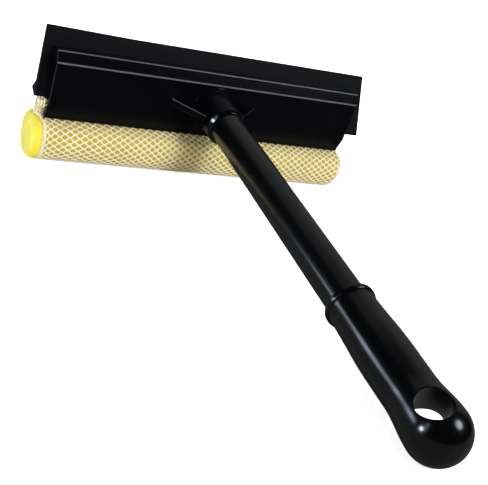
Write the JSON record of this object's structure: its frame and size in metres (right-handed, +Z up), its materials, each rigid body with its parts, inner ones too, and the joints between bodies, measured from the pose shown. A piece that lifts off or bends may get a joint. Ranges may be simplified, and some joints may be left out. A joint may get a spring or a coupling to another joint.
{
  "type": "window squeegee",
  "caption": "Hand window squeegee: a clamped rubber blade above a netted foam roll, on a screw-in tube handle with a moulded grip and hang hole.",
  "frame": {"origin": "floor point below the middle of the whole part, with the part lying on its foam roll and on the grip's ball", "axes": "X along the blade, -Y towards the grip's end, +Z up"},
  "size_m": [0.2056, 0.2912, 0.0731],
  "materials": {
    "gloss_black_plastic": "smooth gloss",
    "matte_black_plastic": "satin",
    "black_rubber": "matte",
    "yellow_foam": "open-cell foam",
    "cream_net": "knotted diamond net",
    "grey_plastic": "satin",
    "zinc_steel": "zinc-plated"
  },
  "bodies": {
    "head": {"front_cover": "gloss_black_plastic", "rear_cover": "gloss_black_plastic", "rubber_blade": "black_rubber", "net_bar": "grey_plastic", "foam_roll": "yellow_foam", "net_sleeve": "cream_net", "cover_screw_1": "zinc_steel", "cover_screw_2": "zinc_steel", "cover_screw_3": "zinc_steel", "cover_screw_4": "zinc_steel"},
    "collar": {"collar_ring": "gloss_black_plastic"},
    "handle": {"handle_plug": "matte_black_plastic", "pole_tube": "gloss_black_plastic", "grip": "gloss_black_plastic"}
  },
  "joints": [
    {"name": "collar_slide", "type": "slide", "parent": "head", "child": "collar", "axis": [0, -0.9921, -0.1255], "range_m": [0, 0.016]},
    {"name": "handle_turn", "type": "hinge", "parent": "collar", "child": "handle", "pos_m": [-0.00175, 0.1188, 0.04513], "axis": [0, -0.9921, -0.1255], "range_deg": [0, 1440]}
  ],
  "couplings": [
    {"joint": "collar_slide", "follows": "handle_turn", "m_per_rad": 0.00063662}
  ]
}
